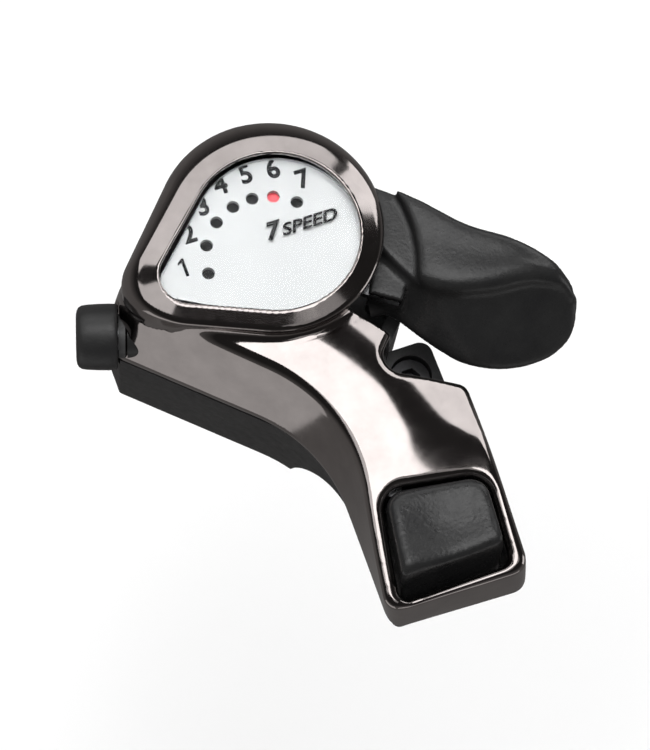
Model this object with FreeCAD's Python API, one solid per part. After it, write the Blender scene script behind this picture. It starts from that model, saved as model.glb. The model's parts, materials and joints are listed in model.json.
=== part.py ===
import FreeCAD, Part
import math
import os

# Right-hand thumb shifter for a 7-speed rear derailleur, in millimetres.
# Frame: the origin is on the axis of the handlebar, in the middle of the clamp band. +X runs along the bar
# to the rider's right, +Y points forward and +Z is up, square to the gear display.

V = FreeCAD.Vector
UP = V(0, 0, 1)
ALONG_BAR = V(1, 0, 0)

# ---- driving dimensions ----------------------------------------------------------------------------------------
BAR_R = 11.1                    # 22.2 mm handlebar
BAND_T = 1.2
BAND_W = 10.0
SADDLE_RELIEF = 0.2             # only the band touches the bar
EAR_GAP = 3.0                   # open slit between the two ears of the band
BOLT_X, BOLT_Y = 0.0, 16.5      # clamp bolt, M4 with a 3 mm hex socket
BOLT_R = 2.0
BOLT_HEAD_R = 3.05
EAR_TOP = 12.0                  # top face of the bolt boss

AXLE_X, AXLE_Y = -17.5, 34.5    # the axis that the lever, the drum and the indicator share
AXLE_R = 2.0
RUN = 0.05                      # radial clearance of every running fit
CABLE_Z = 20.0
CABLE_R = 7.8                   # radius at which the inner cable lies on the drum
CABLE_D = 1.2
BARREL_AZ = 162.0               # direction in which the cable leaves, from +X
BOSS_END = 21.2                 # the barrel adjuster's stations, as distances from the drum along the cable
KNOB_START, KNOB_END = 22.6, 28.8
SOCKET_R, SOCKET_L = 2.6, 5.0   # takes 5 mm cable housing
BARREL_SCREW_R = 2.0
GEARS = (177.5, 151.0, 127.0, 106.0, 87.0, 68.0, 46.5)   # indicator positions 1 to 7 about the axle
REST_GEAR = 6
DOT_RING_R = 9.6

FLOOR_Z = 2.0                   # underside of the housing
SEAM_Z = 17.0                   # where the cover meets the base
SHOULDER_Z = 30.0               # top of the arm and foot of the display bezel
BEZEL_Z = 34.5
WALL = 1.8
BASE_INSET = 0.75               # the base stands this far inside the cover's lower edge
BUTTON_Y, BUTTON_Z = -6.5, 19.0   # the button's pin lies along the bar
PAWL_GAP = 0.15                 # tip of a pawl to the tips of the teeth

# Corners (x, y, fillet radius) of the cover in plan, at its lower edge and at the shoulder. Both lists run
# anticlockwise and name the same nine corners, so the flank between them is a plain ruled loft.
TOWER = (-16.5, 39.8, 18.2)
TOWER_TOP = (-15.5, 39.5, 16.6)
TOWER_START, TOWER_MIDDLE, TOWER_END = -62.0, 38.0, 139.0


def around(circle, start, end):
    """Corner whose fillet is the stretch of the circle between two angles."""
    x, y, r = circle
    reach = r / math.cos(math.radians((end - start) / 2))
    middle = math.radians((start + end) / 2)
    return (x + reach * math.cos(middle), y + reach * math.sin(middle), r)


SKIRT = [
    (-42.8, 31.2, 1.6), (-18.5, 8.4, 25.0), (-18.0, -21.4, 2.0), (3.4, -22.4, 2.5), (4.3, 8.6, 1.6),
    (-7.2, 14.6, 3.0), around(TOWER, TOWER_START, TOWER_MIDDLE), around(TOWER, TOWER_MIDDLE, TOWER_END),
    (-42.8, 37.2, 3.0),
]
SHOULDER = [
    (-37.2, 33.4, 3.0), (-13.7, 10.0, 25.0), (-19.9, -20.4, 2.0), (2.0, -20.9, 2.5), (3.9, 7.9, 1.6),
    (-8.8, 13.9, 3.0), around(TOWER_TOP, TOWER_START, TOWER_MIDDLE),
    around(TOWER_TOP, TOWER_MIDDLE, TOWER_END), (-37.2, 39.8, 2.5),
]
WINDOW = ((-15.6, 36.9, 12.5), (-31.5, 34.9, 2.8))        # the display opening is the hull of two circles
BUTTON_HOLE = [(-14.4, -3.4, 3.5), (-17.2, -19.9, 1.5), (-0.1, -19.6, 1.5), (1.4, -6.0, 3.5)]


# ---- outlines and solids ---------------------------------------------------------------------------------------
def polar(r, degrees, z=0.0, centre=(AXLE_X, AXLE_Y)):
    a = math.radians(degrees)
    return V(centre[0] + r * math.cos(a), centre[1] + r * math.sin(a), z)


def rounded(corners, z=0.0):
    """Closed wire through the corners, each rounded by its own radius."""
    points = []
    count = len(corners)
    for i in range(count):
        x, y, r = corners[i]
        here = V(x, y, z)
        back = V(corners[i - 1][0], corners[i - 1][1], z) - here
        ahead = V(corners[(i + 1) % count][0], corners[(i + 1) % count][1], z) - here
        back.normalize()
        ahead.normalize()
        half = back.getAngle(ahead) / 2
        length = r / math.tan(half)
        to_centre = back + ahead
        to_centre.normalize()
        middle = here + to_centre * (r / math.sin(half) - r)
        points.append((here + back * length, middle, here + ahead * length))
    edges = []
    for i in range(count):
        start, middle, end = points[i]
        edges.append(Part.Arc(start, middle, end).toShape())
        edges.append(Part.LineSegment(end, points[(i + 1) % count][0]).toShape())
    return Part.Wire(edges)


def inset(corners, distance):
    """The same corners with every side moved inwards. Corners run anticlockwise."""
    moved = []
    count = len(corners)
    for i in range(count):
        here = V(corners[i][0], corners[i][1], 0)
        d1 = here - V(corners[i - 1][0], corners[i - 1][1], 0)
        d2 = V(corners[(i + 1) % count][0], corners[(i + 1) % count][1], 0) - here
        d1.normalize()
        d2.normalize()
        n1 = V(-d1.y, d1.x, 0)
        n2 = V(-d2.y, d2.x, 0)
        turn = d1.x * d2.y - d1.y * d2.x
        corner = here + (n1 + n2) * (distance / (1 + n1.dot(n2)))
        radius = corners[i][2] - math.copysign(distance, turn)
        moved.append((corner.x, corner.y, max(radius, 0.3)))
    return moved


def hull(circles, z=0.0, grow=0.0):
    """Wire round two circles and the straight lines that touch both."""
    (x1, y1, r1), (x2, y2, r2) = circles
    r1 += grow
    r2 += grow
    span = math.hypot(x2 - x1, y2 - y1)
    facing = math.degrees(math.atan2(y2 - y1, x2 - x1))
    lean = math.degrees(math.acos((r1 - r2) / span))
    a1 = polar(r1, facing + lean, z, (x1, y1))
    b1 = polar(r1, facing - lean, z, (x1, y1))
    a2 = polar(r2, facing + lean, z, (x2, y2))
    b2 = polar(r2, facing - lean, z, (x2, y2))
    far1 = polar(r1, facing + 180, z, (x1, y1))
    far2 = polar(r2, facing, z, (x2, y2))
    return Part.Wire([
        Part.Arc(a1, far1, b1).toShape(), Part.LineSegment(b1, b2).toShape(),
        Part.Arc(b2, far2, a2).toShape(), Part.LineSegment(a2, a1).toShape(),
    ])


def prism(wire, height):
    return Part.Face(wire).extrude(UP * height)


def loft(wires):
    return Part.makeLoft(wires, True, True)


def box(x0, x1, y0, y1, z0, z1):
    return Part.makeBox(x1 - x0, y1 - y0, z1 - z0, V(x0, y0, z0))


def cylinder(r, z0, z1, x=AXLE_X, y=AXLE_Y):
    return Part.makeCylinder(r, z1 - z0, V(x, y, z0), UP)


def tube(r_out, r_in, z0, z1, x=AXLE_X, y=AXLE_Y):
    return cylinder(r_out, z0, z1, x, y).cut(cylinder(r_in, z0, z1, x, y))


def bar_cylinder(r, x0, x1):
    return Part.makeCylinder(r, x1 - x0, V(x0, 0, 0), ALONG_BAR)


def hexagon(across_flats, z0, z1, x, y):
    reach = across_flats / math.sqrt(3)
    points = [polar(reach, 60 * i, z0, (x, y)) for i in range(7)]
    return prism(Part.makePolygon(points), z1 - z0)


def sector(r_in, r_out, start, end, z0, z1):
    """Part of a ring about the axle, between two angles."""
    middle = (start + end) / 2
    wire = Part.Wire([
        Part.Arc(polar(r_out, start, z0), polar(r_out, middle, z0), polar(r_out, end, z0)).toShape(),
        Part.LineSegment(polar(r_out, end, z0), polar(r_in, end, z0)).toShape(),
        Part.Arc(polar(r_in, end, z0), polar(r_in, middle, z0), polar(r_in, start, z0)).toShape(),
        Part.LineSegment(polar(r_in, start, z0), polar(r_out, start, z0)).toShape(),
    ])
    return prism(wire, z1 - z0)


def plate(points, z0, thickness, r=0.8):
    """Flat plate with every corner rounded alike."""
    return prism(rounded([(x, y, r) for x, y in points], z0), thickness)


def coil(radius, wire_r, z0, turns, pitch, x, y):
    """Spring with its axis upright, faceted along its turns and round its wire."""
    steps = round(turns * 16)
    rings = []
    for i in range(steps + 1):
        turned = 2 * math.pi * turns * i / steps
        height = z0 + pitch * turns * i / steps
        ring = []
        for j in range(6):
            side = math.pi / 3 * j
            reach = radius + wire_r * math.cos(side)
            ring.append(V(x + reach * math.cos(turned), y + reach * math.sin(turned), height + wire_r * math.sin(side)))
        rings.append(ring)
    triangles = []
    for low, high in zip(rings, rings[1:]):
        for j in range(6):
            k = (j + 1) % 6
            triangles += [(low[j], low[k], high[k]), (low[j], high[k], high[j])]
    for ring in (rings[0], rings[-1]):
        triangles += [(ring[0], ring[j], ring[j + 1]) for j in range(1, 5)]
    shell = Part.makeShell([Part.Face(Part.makePolygon([a, b, c, a])) for a, b, c in triangles])
    shell.sewShape()
    solid = Part.makeSolid(shell)
    return solid if solid.Volume > 0 else solid.reversed()


def fuse(shape, *others):
    for other in others:
        shape = shape.fuse(other)
    return shape.removeSplitter()


def cut(shape, *tools):
    for tool in tools:
        shape = shape.cut(tool)
    return shape


# ---- heights of the layers round the axle, from the floor up ---------------------------------------------------
BOARD_Z, BOARD_T = 7.8, 1.2       # steel mechanism plate
SLEEVE_Z = 9.25                   # foot of the drum's sleeve
DRUM_Z, DRUM_TOP = 17.6, 24.0
RATCHET_T = 1.1
LEVER_PLATE_Z, LEVER_PLATE_T = 25.5, 1.4
LINK_Z, LINK_T = 25.4, 1.0
UPPER_Z, UPPER_T = 27.4, 0.9
POINTER_Z = 30.3
DIAL_Z = 31.2
LENS_Z = 32.7

SLEEVE_R = 3.4
WHEEL_R = 9.6                     # tips of the ratchet teeth
TOOTH_DEPTH = 1.4
HOLD_TIP, FEED_TIP = 240.0, 12.0   # where the two pawls meet the wheel
POSTS = [polar(12.6, a) for a in (100.0, 184.0, 287.0)]
SCREWS = [V(-36.2, 38.0, 0), V(-26.0, 50.0, 0), V(-18.5, 54.0, 0)]

BARREL_DIR = polar(1.0, BARREL_AZ, 0, (0, 0))
CABLE_EXIT = polar(CABLE_R, BARREL_AZ + 90, CABLE_Z)      # where the cable leaves the drum


def along_barrel(r, start, end):
    """Cylinder on the cable's line, between two distances from the drum."""
    return Part.makeCylinder(r, end - start, CABLE_EXIT + BARREL_DIR * start, BARREL_DIR)


# ---- housing ---------------------------------------------------------------------------------------------------
def cover_outer():
    """Flared flank up to the shoulder, sloping button frame and raised display bezel."""
    body = loft([rounded(SKIRT, SEAM_Z), rounded(SHOULDER, SHOULDER_Z)])
    slope = Part.makePolygon([
        V(-60, 2, SHOULDER_Z), V(-60, -23.5, 27.2), V(-60, -23.5, 40), V(-60, 2, 40), V(-60, 2, SHOULDER_Z),
    ])
    body = body.cut(Part.Face(slope).extrude(ALONG_BAR * 120))
    foot = ((-15.5, 39.5, 16.4), (-33.0, 35.4, 4.4))
    crest = ((-15.6, 37.6, 14.6), (-31.6, 35.0, 4.4))
    bezel = loft([hull(foot, SHOULDER_Z - 0.4), hull(crest, BEZEL_Z - 0.5)])
    lip = loft([hull(crest, BEZEL_Z - 0.5), hull(crest, BEZEL_Z, -0.8)])
    return fuse(body, bezel, lip)


def cavity(distance):
    """Inside of the flank, this far in from its outer face."""
    return loft([
        rounded(inset(SKIRT, distance), SEAM_Z - 0.01), rounded(inset(SHOULDER, distance), SHOULDER_Z - 1.6),
    ])


def top_cover():
    inside = cavity(WALL)
    inside = cut(inside, box(-40, 20, -30, 2, 27.3, 40), box(-40, 20, -30, -6.4, 25.2, 40))
    display = prism(hull(WINDOW, SHOULDER_Z - 1.7), 15)
    seat = prism(hull(WINDOW, DIAL_Z, 0.9), LENS_Z + 1.0 - DIAL_Z)
    slot = sector(8.0, 45.0, -50.0, 82.0, SEAM_Z - 1, SHOULDER_Z + 0.7)
    button_hole = prism(rounded(BUTTON_HOLE, 15), 20)
    snap_window = plate([(1.0, 6.6), (2.9, 6.2), (2.9, 8.0)], 24, 8, 0.25)
    shell = cut(cover_outer(), inside, display, seat, slot, button_hole, snap_window)
    pillars = [cylinder(2.0, SEAM_Z, SHOULDER_Z - 1.2, p.x, p.y).common(inside) for p in SCREWS]
    pilots = [cylinder(1.05, SEAM_Z - 1, SEAM_Z + 6, p.x, p.y) for p in SCREWS]
    return cut(fuse(shell, *pillars), along_barrel(3.3, 13.5, 23), along_barrel(5.4, KNOB_START - 0.3, 40), *pilots)


def base_outline(distance):
    """The base follows the cover's edge, and draws in under the arm."""
    corners = inset(SKIRT, BASE_INSET + distance)
    under_arm = {1: (-16.6, 7.6), 2: (-16.0, -19.3), 3: (1.8, -19.8), 4: (2.4, 7.7)}
    for i, (x, y) in under_arm.items():
        side = distance if x < 0 else -distance
        end = distance if y < 0 else -distance
        corners[i] = (x + side, y + end, corners[i][2])
    return corners


def base_housing():
    outer = prism(rounded(base_outline(0), FLOOR_Z), SEAM_Z - FLOOR_Z)
    lip_ring = cavity(WALL + 0.1).common(box(-60, 30, -40, 70, SEAM_Z - 0.01, SEAM_Z + 1.2))
    lip = cut(lip_ring, prism(rounded(inset(SKIRT, 2.9), 10), 20), box(-60, 30, -40, 18, 10, 30),
              sector(8.0, 45.0, -90.0, 86.0, 10, 30), *[cylinder(2.1, 10, 30, p.x, p.y) for p in SCREWS])
    deep = prism(rounded(inset(SKIRT, 2.9), FLOOR_Z + 2), 30).cut(box(-60, 30, -40, 15.2, 0, 40))
    shallow = prism(rounded(base_outline(1.8), 13.9), 20).common(box(-60, 30, -40, 15.3, 0, 40))
    body = cut(fuse(outer, lip), deep, shallow)
    boss_corners = [(-8.0, 7.0), (4.5, 7.0), (4.5, 21.2), (-8.0, 21.2)]
    boss = plate(boss_corners, EAR_GAP / 2 + BAND_T, EAR_TOP - EAR_GAP / 2 - BAND_T, 2.0)
    screw_bosses = [cylinder(2.6, FLOOR_Z, SEAM_Z, p.x, p.y) for p in SCREWS]
    seats = [cylinder(2.6, FLOOR_Z, BOARD_Z, p.x, p.y) for p in POSTS]
    ears = [box(x, x + 1.2, -8.6, -4.4, 13, 21) for x in (-15.4, -0.2)]
    spring_post = cylinder(1.3, 13, 16.5, -8.0, -15.0)
    barrel_boss = along_barrel(3.2, 14.2, BOSS_END)
    middle = CABLE_EXIT + BARREL_DIR * 16.7
    pedestal = Part.makeBox(5.0, 5.0, CABLE_Z - FLOOR_Z, V(-2.5, -2.5, 0))
    pedestal.rotate(V(0, 0, 0), UP, BARREL_AZ)
    pedestal.translate(V(middle.x, middle.y, FLOOR_Z))
    body = fuse(body, boss, spring_post, barrel_boss, pedestal, *screw_bosses, *seats, *ears)
    ways = [cylinder(1.3, 0, SEAM_Z + 3, p.x, p.y) for p in SCREWS]
    ways += [cylinder(2.2, 0, FLOOR_Z + 1.4, p.x, p.y) for p in SCREWS]
    ways += [cylinder(1.2, 0, BOARD_Z, p.x, p.y) for p in POSTS]
    ways += [cylinder(2.0, 0, FLOOR_Z + 1.0, p.x, p.y) for p in POSTS]
    return cut(
        body, bar_cylinder(BAR_R + SADDLE_RELIEF, -60, 30),
        bar_cylinder(BAR_R + BAND_T + 0.1, -BAND_W / 2, BAND_W / 2),
        box(-60, 30, -40, -3, 0, 8.6), box(-4.5, 4.5, 0, 21.1, 0, EAR_GAP / 2 + BAND_T),
        cylinder(BOLT_R + 0.3, -5, 40, BOLT_X, BOLT_Y), cylinder(3.25, EAR_TOP - 4.2, 40, BOLT_X, BOLT_Y),
        Part.makeCylinder(1.0, 30, V(-20, BUTTON_Y, BUTTON_Z), ALONG_BAR),
        along_barrel(BARREL_SCREW_R + RUN, 0, 40), along_barrel(3.5, BOSS_END, 40),
        along_barrel(5.4, KNOB_START - 0.3, 40), *ways,
    )


def cover_screws():
    screws = []
    for p in SCREWS:
        head = cylinder(2.0, FLOOR_Z + 0.2, FLOOR_Z + 1.4, p.x, p.y)
        shank = cylinder(1.05, FLOOR_Z + 1.4, SEAM_Z + 5, p.x, p.y)
        cross = [box(p.x - a, p.x + a, p.y - b, p.y + b, 0, FLOOR_Z + 0.8) for a, b in ((1.2, 0.25), (0.25, 1.2))]
        screws.append(cut(head.fuse(shank), *cross))
    return Part.makeCompound(screws)


# ---- clamp -----------------------------------------------------------------------------------------------------
def clamp_band():
    """Steel strap round the bar with both ends bent forwards into ears."""
    half = BAND_W / 2
    ring = bar_cylinder(BAR_R + BAND_T, -half, half)
    ears = box(-half, half, 0, 21.0, -EAR_GAP / 2 - BAND_T, EAR_GAP / 2 + BAND_T)
    ears = ears.common(box(-4.4, 4.4, 0, 30, -5, 5))
    band = cut(ring.fuse(ears), bar_cylinder(BAR_R, -half, half), box(-half, half, 0, 30, -EAR_GAP / 2, EAR_GAP / 2),
               cylinder(BOLT_R + 0.2, -10, 10, BOLT_X, BOLT_Y))
    return band.removeSplitter()


def clamp_bolt():
    seat = EAR_TOP - 4.2
    head = cylinder(BOLT_HEAD_R, seat, seat + 2.8, BOLT_X, BOLT_Y)
    shank = cylinder(BOLT_R, -7.2, seat, BOLT_X, BOLT_Y)
    return head.fuse(shank).cut(hexagon(3.0, seat + 0.8, seat + 5, BOLT_X, BOLT_Y))


def clamp_nut():
    top = -EAR_GAP / 2 - BAND_T
    return box(BOLT_X - 3.5, BOLT_X + 3.5, BOLT_Y - 3.5, BOLT_Y + 3.5, top - 3.2, top).cut(
        cylinder(BOLT_R, -10, 10, BOLT_X, BOLT_Y))


# ---- display ---------------------------------------------------------------------------------------------------
def dial_lens():
    return prism(hull(WINDOW, LENS_Z, 0.8), 1.0)


def dial_plate():
    face = prism(hull(WINDOW, DIAL_Z, 0.8), 0.8)
    rim = prism(hull(WINDOW, DIAL_Z, 0.8), LENS_Z - DIAL_Z).cut(prism(hull(WINDOW, DIAL_Z, 0.1), 5))
    holes = []
    for angle in GEARS:
        p = polar(DOT_RING_R, angle)
        holes.append(cylinder(0.95, DIAL_Z - 1, LENS_Z, p.x, p.y))
    return cut(fuse(face, rim), *holes)


def indicator_pointer():
    angle = GEARS[REST_GEAR - 1]
    arm = sector(2.0, 11.0, angle - 9, angle + 9, POINTER_Z, POINTER_Z + 0.5)
    hub = cylinder(4.2, POINTER_Z, POINTER_Z + 0.5)
    return fuse(hub, arm).cut(cylinder(2.7, POINTER_Z, POINTER_Z + 0.5))


def indicator_dot():
    p = polar(DOT_RING_R, GEARS[REST_GEAR - 1])
    return cylinder(1.25, POINTER_Z + 0.5, POINTER_Z + 0.7, p.x, p.y)


# ---- mechanism -------------------------------------------------------------------------------------------------
def lobed_plate(r, z, thickness, bores):
    """Round plate with a lug at each post."""
    shape = cylinder(r, z, z + thickness)
    for p in POSTS:
        spoke = box(0, 12.6, -2.4, 2.4, z, z + thickness)
        spoke.rotate(V(0, 0, 0), UP, math.degrees(math.atan2(p.y - AXLE_Y, p.x - AXLE_X)))
        spoke.translate(V(AXLE_X, AXLE_Y, 0))
        shape = shape.fuse([spoke, cylinder(2.4, z, z + thickness, p.x, p.y)])
    holes = [cylinder(bores, z, z + thickness, p.x, p.y) for p in POSTS]
    return cut(shape.removeSplitter(), *holes)


def mechanism_plate():
    return lobed_plate(9.0, BOARD_Z, BOARD_T, 1.2).cut(cylinder(AXLE_R, 0, 30))


def upper_plate():
    return lobed_plate(11.4, UPPER_Z, UPPER_T, 1.0).cut(cylinder(SLEEVE_R + 0.3, 20, 40))


def plate_posts():
    posts = []
    for p in POSTS:
        foot = cylinder(1.2, BOARD_Z, BOARD_Z + BOARD_T, p.x, p.y)
        shank = cylinder(1.6, BOARD_Z + BOARD_T, UPPER_Z, p.x, p.y)
        rivet = cylinder(1.0, UPPER_Z, UPPER_Z + UPPER_T, p.x, p.y)
        posts.append(fuse(foot, shank, rivet))
    return Part.makeCompound(posts)


def board_screws():
    return Part.makeCompound([
        cylinder(1.9, FLOOR_Z + 0.2, FLOOR_Z + 1, p.x, p.y).fuse(cylinder(1.2, FLOOR_Z + 1, BOARD_Z, p.x, p.y))
        for p in POSTS
    ])


def main_axle():
    return cylinder(AXLE_R, 4.8, POINTER_Z + 0.6)


def axle_nut():
    return hexagon(7.0, 5.2, BOARD_Z, AXLE_X, AXLE_Y).cut(cylinder(AXLE_R, 0, 20))


def cable_drum():
    spool = cylinder(9.4, DRUM_Z, DRUM_TOP)
    groove = tube(12, CABLE_R - CABLE_D / 2, CABLE_Z - 1.1, CABLE_Z + 1.1)
    anchor = polar(6.6, 20.0)
    pocket = cylinder(2.1, DRUM_Z, CABLE_Z + 2.2, anchor.x, anchor.y)
    sleeve = cylinder(SLEEVE_R, SLEEVE_Z, POINTER_Z)
    neck = cylinder(2.7, POINTER_Z, POINTER_Z + 0.5)
    hollow = tube(7.0, SLEEVE_R + 1.2, 22.2, DRUM_TOP)
    return fuse(spool, sleeve, neck).cut([groove, pocket, hollow, cylinder(AXLE_R + RUN, 0, 40)])


def notch(angle):
    """Saw-tooth gap: a radial face on the anticlockwise side and a ramp behind it."""
    z = DRUM_TOP
    points = [polar(WHEEL_R + 1, angle, z), polar(WHEEL_R - TOOTH_DEPTH, angle, z),
              polar(WHEEL_R + 0.05, angle - 12, z), polar(WHEEL_R + 1, angle - 12, z)]
    return prism(Part.makePolygon(points + points[:1]), RATCHET_T)


def ratchet_wheel():
    rest = GEARS[REST_GEAR - 1]
    notches = [notch(tip + 2.0 - (gear - rest)) for tip in (HOLD_TIP, FEED_TIP) for gear in GEARS]
    return cut(tube(WHEEL_R, SLEEVE_R, DRUM_TOP, DRUM_TOP + RATCHET_T), *notches)


def pawl(tip_angle, pin, tail=None):
    """Flat pawl that reaches from its pin to the wheel's teeth."""
    z = DRUM_TOP + 0.1
    tip = polar(WHEEL_R + PAWL_GAP, tip_angle, z)
    back = polar(WHEEL_R + PAWL_GAP + 1.5, tip_angle + 4, z)
    reach = V(tip.x - pin.x, tip.y - pin.y, 0)
    reach.normalize()
    side = V(-reach.y, reach.x, 0) * 1.7
    foot = V(pin.x, pin.y, z)
    points = [foot + side, tip, back, foot - side]
    blade = prism(Part.makePolygon(points + points[:1]), 1.0)
    body = blade.fuse(cylinder(1.8, z, z + 1.0, pin.x, pin.y))
    if tail:
        body = body.fuse(tail)
    keep_off = cylinder(WHEEL_R + PAWL_GAP, z - 1, z + 2)
    return cut(body, keep_off, cylinder(0.8 + RUN, z - 1, z + 2, pin.x, pin.y)).removeSplitter()


HOLD_PIN = polar(12.8, 211.0)
FEED_PIN = polar(12.2, -20.0)
HOOK = V(-20.9, 24.2, 0)             # the link's peg stands here, in front of the holding pawl's tail


def holding_pawl():
    z = DRUM_TOP + 0.1
    tail = [(-26.5, 27.2), (-26.2, 25.0), (-19.3, 20.8), (-19.3, 23.0), (-22.6, 23.9)]
    points = [V(x, y, z) for x, y in tail]
    return pawl(HOLD_TIP, HOLD_PIN, prism(Part.makePolygon(points + points[:1]), 1.0))


def holding_pawl_pin():
    return cylinder(0.8, BOARD_Z + BOARD_T, UPPER_Z, HOLD_PIN.x, HOLD_PIN.y)


def feed_pawl():
    return pawl(FEED_TIP, FEED_PIN)


def feed_pawl_pin():
    return cylinder(0.8, DRUM_TOP - 0.3, LEVER_PLATE_Z + LEVER_PLATE_T, FEED_PIN.x, FEED_PIN.y)


def strip(points, width, z, thickness):
    """Flat link that runs through the points."""
    pieces = [cylinder(width / 2, z, z + thickness, x, y) for x, y in points]
    for (x0, y0), (x1, y1) in zip(points, points[1:]):
        leg = box(0, math.hypot(x1 - x0, y1 - y0), -width / 2, width / 2, z, z + thickness)
        leg.rotate(V(0, 0, 0), UP, math.degrees(math.atan2(y1 - y0, x1 - x0)))
        leg.translate(V(x0, y0, 0))
        pieces.append(leg)
    return fuse(pieces[0], *pieces[1:])


HORN = (-12.9, -11.3, -3.2, -1.8)    # the button's upright finger in plan


def release_link():
    foot = [(-12.1, -2.7), (-12.1, 4.0)]
    route = [foot[1], (-14.2, 13.0), (-16.6, 18.6), (HOOK.x, HOOK.y + 0.6)]
    body = fuse(strip(foot, 3.4, LINK_Z, LINK_T), strip(route, 2.4, LINK_Z, LINK_T))
    peg = cylinder(0.6, DRUM_TOP + 0.1, LINK_Z, HOOK.x, HOOK.y)
    x0, x1, y0, y1 = HORN
    return fuse(body, peg).cut(box(x0 - 0.15, x1 + 0.15, y0 - 0.25, y1 + 0.18, 20, 30))


# ---- lever -----------------------------------------------------------------------------------------------------
def lever_plate():
    ring = cylinder(6.0, LEVER_PLATE_Z, LEVER_PLATE_Z + LEVER_PLATE_T)
    arm = sector(2.0, 20.0, -34.0, 14.0, LEVER_PLATE_Z, LEVER_PLATE_Z + LEVER_PLATE_T)
    return fuse(ring, arm).cut([
        cylinder(SLEEVE_R + RUN, 20, 40), cylinder(0.8, 20, 40, FEED_PIN.x, FEED_PIN.y),
    ])


def lever_section(x, far, near, bottom, top_z, bottom_z):
    """Cross-section of the paddle: flat top, thumb face that slopes back and down, undercut far side."""
    middle_z = (top_z + bottom_z) / 2
    points = [
        V(x, far, top_z), V(x, near, top_z), V(x, near - 0.35 * (near - bottom), middle_z + 0.5),
        V(x, bottom, bottom_z + 1.0), V(x, bottom + 2.0, bottom_z), V(x, bottom + 5.5, bottom_z + 0.5),
        V(x, far - 1.0, middle_z + 2.0), V(x, far, top_z),
    ]
    return Part.makePolygon(points)


def thumb_lever():
    wing = loft([
        lever_section(-1.0, 43.2, 33.0, 22.0, 30.3, 20.4),
        lever_section(2.5, 40.4, 25.0, 16.8, 31.2, 20.0),
        lever_section(6.5, 36.2, 21.6, 12.6, 31.8, 19.6),
        lever_section(12.0, 29.9, 19.8, 10.2, 32.0, 19.2),
        lever_section(18.0, 25.6, 19.6, 9.6, 31.8, 19.4),
        lever_section(22.5, 21.2, 17.8, 11.4, 30.6, 20.6),
        lever_section(24.6, 18.6, 16.6, 13.6, 28.6, 23.0),
    ])
    root = sector(15.0, 20.5, -36.0, 20.0, 20.4, SHOULDER_Z + 0.3)
    under_bezel = cylinder(22.4, SHOULDER_Z + 0.3, 40)
    return cut(fuse(wing, root), under_bezel, cylinder(15.0, 0, 40), lever_plate()).removeSplitter()


# ---- button ----------------------------------------------------------------------------------------------------
def release_button():
    plan = inset(BUTTON_HOLE, 0.75)
    block = prism(rounded(plan, 21.3), 10.2)
    rear = Part.makePolygon([V(-30, -30, 20), V(-30, -18.2, 20), V(-30, -18.2, 26), V(-30, -16.6, 31.6),
                             V(-30, -16.6, 40), V(-30, -30, 40), V(-30, -30, 20)])
    front = Part.makePolygon([V(-30, 5, 27.6), V(-30, -6.5, 30.2), V(-30, -6.5, 40), V(-30, 5, 40), V(-30, 5, 27.6)])
    dish = Part.makeSphere(19.0, V(-6.8, -10.5, 48.9))
    block = cut(block, Part.Face(rear).extrude(ALONG_BAR * 60), Part.Face(front).extrude(ALONG_BAR * 60), dish)
    x0, x1, y0, y1 = HORN
    horn = fuse(box(x0, x1, y0, y1, 21.5, 26.6), box(x0, x1, -6.0, y1, 21.5, 23.4))
    lugs = [box(x, x + 2.0, -8.8, -4.6, 17.0, 21.6) for x in (-13.6, -2.4)]
    hollow = box(-12.6, -2.8, -17.0, -9.4, 20, 27.0)
    pin_way = Part.makeCylinder(1.0 + RUN, 40, V(-20, BUTTON_Y, BUTTON_Z), ALONG_BAR)
    body = cut(block, hollow)
    spigot = cylinder(1.3, 22.0, 28.0, -8.0, -15.0)
    return cut(fuse(body, horn, spigot, *lugs), pin_way)


def button_pin():
    return Part.makeCylinder(1.0, 16.2, V(-15.3, BUTTON_Y, BUTTON_Z), ALONG_BAR)


# ---- cable adjuster --------------------------------------------------------------------------------------------


def adjuster_barrel():
    knob = along_barrel(5.0, KNOB_START, KNOB_END - 0.6)
    nose = Part.makeCone(5.0, 4.4, 0.6, CABLE_EXIT + BARREL_DIR * (KNOB_END - 0.6), BARREL_DIR)
    socket = along_barrel(SOCKET_R, KNOB_END - SOCKET_L, KNOB_END + 1)
    return fuse(knob, nose).cut([socket, along_barrel(BARREL_SCREW_R, KNOB_START - 1, KNOB_END)])


def adjuster_screw():
    return along_barrel(BARREL_SCREW_R, 14.5, KNOB_END - SOCKET_L - 0.1).cut(along_barrel(0.9, 0, 40))


def click_washer():
    return along_barrel(3.2, BOSS_END + 0.3, KNOB_START - 0.1).cut(along_barrel(BARREL_SCREW_R + 0.1, 10, 40))


# ---- springs ---------------------------------------------------------------------------------------------------
def drum_return_spring():
    return coil(5.4, 0.45, 9.9, 5.0, 1.4, AXLE_X, AXLE_Y)


def lever_return_spring():
    return coil(5.2, 0.3, UPPER_Z + UPPER_T + 0.35, 1.5, 0.75, AXLE_X, AXLE_Y)


def button_spring():
    return coil(2.0, 0.25, 14.3, 5.0, 1.35, -8.0, -15.0)


NODES = [
    base_housing, top_cover, cover_screws, clamp_band, clamp_bolt, clamp_nut, dial_lens, dial_plate,
    indicator_pointer, indicator_dot, mechanism_plate, board_screws, plate_posts, upper_plate, main_axle,
    axle_nut, cable_drum, ratchet_wheel, holding_pawl, holding_pawl_pin, feed_pawl, feed_pawl_pin,
    release_link, lever_plate, thumb_lever, release_button, button_pin, adjuster_barrel, adjuster_screw,
    click_washer, drum_return_spring, lever_return_spring, button_spring,
]

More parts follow.
